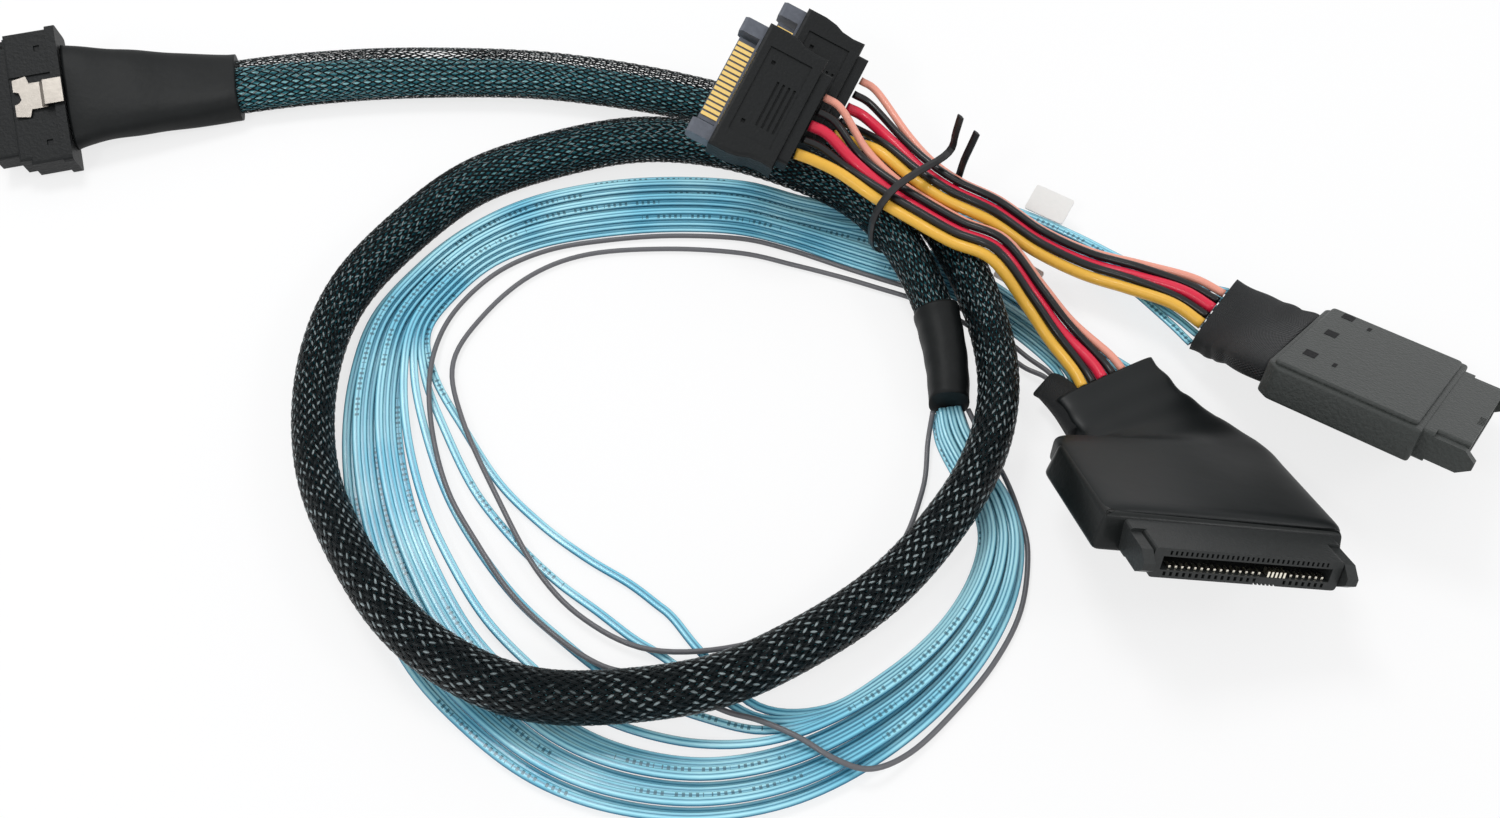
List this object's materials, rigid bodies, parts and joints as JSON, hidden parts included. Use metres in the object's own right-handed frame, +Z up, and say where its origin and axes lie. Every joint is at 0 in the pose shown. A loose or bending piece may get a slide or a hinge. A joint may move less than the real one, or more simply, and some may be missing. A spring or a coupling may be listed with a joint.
{
  "type": "braided drive breakout cable",
  "caption": "Breakout cable laid in a loop: a wide latching plug, a braided sleeve, loose flat blue strands, two power inlets and two wide drive connectors.",
  "frame": {"origin": "on the floor under the middle of the whole laid-out cable's box", "axes": "+Z up from the floor, +X from the wide host plug toward the drive connectors, +Y across the loop toward the power inlets"},
  "size_m": [0.3397, 0.1916, 0.0397],
  "materials": {
    "pale_blue_jacket": "glossy pale blue jackets",
    "grey_jacket": "satin grey jackets",
    "slate_insulator": "satin grey-blue moulding with raised gilt contacts",
    "black_moulding": "fine-textured black",
    "gloss_moulding": "glossy black",
    "receptacle_moulding": "satin black",
    "yellow_jacket": "glossy yellow",
    "red_jacket": "glossy red",
    "orange_jacket": "glossy salmon orange",
    "black_jacket": "glossy black",
    "braid": "black monofilament braid with blue showing through",
    "shrink_tube": "satin black heat-shrunk tube",
    "tie_jacket": "satin black",
    "label_paper": "bare white",
    "latch_steel": "bright pressed steel",
    "card_laminate": "green circuit card",
    "cloth_tape": "woven black tape"
  },
  "bodies": {
    "root": {"braided_sleeve": "braid", "drive_lower_hood": "gloss_moulding", "drive_lower_receptacle": "receptacle_moulding", "drive_lower_tape": "cloth_tape", "drive_right_hood": "gloss_moulding", "drive_right_receptacle": "receptacle_moulding", "drive_right_tape": "cloth_tape", "flag_label_1": "label_paper", "flag_label_2": "label_paper", "grey_wire_1": "grey_jacket", "grey_wire_2": "grey_jacket", "host_boot": "shrink_tube", "host_latch_spring": "latch_steel", "host_paddle_card": "card_laminate", "host_plug_housing": "black_moulding", "power_inlet_a_body": "black_moulding", "power_inlet_a_tongue": "slate_insulator", "power_inlet_b_body": "black_moulding", "power_inlet_b_tongue": "slate_insulator", "power_lower_black_1": "black_jacket", "power_lower_black_2": "black_jacket", "power_lower_orange": "orange_jacket", "power_lower_red": "red_jacket", "power_lower_yellow": "yellow_jacket", "power_right_black_1": "black_jacket", "power_right_black_2": "black_jacket", "power_right_orange": "orange_jacket", "power_right_red": "red_jacket", "power_right_yellow": "yellow_jacket", "sleeve_end_shrink": "shrink_tube", "strand_lower_1": "pale_blue_jacket", "strand_lower_2": "pale_blue_jacket", "strand_lower_3": "pale_blue_jacket", "strand_lower_4": "pale_blue_jacket", "strand_lower_5": "pale_blue_jacket", "strand_lower_6": "pale_blue_jacket", "strand_lower_7": "pale_blue_jacket", "strand_right_1": "pale_blue_jacket", "strand_right_2": "pale_blue_jacket", "strand_right_3": "pale_blue_jacket", "strand_right_4": "pale_blue_jacket", "strand_right_5": "pale_blue_jacket", "strand_right_6": "pale_blue_jacket", "strand_right_7": "pale_blue_jacket", "twist_tie": "tie_jacket"}
  },
  "joints": []
}
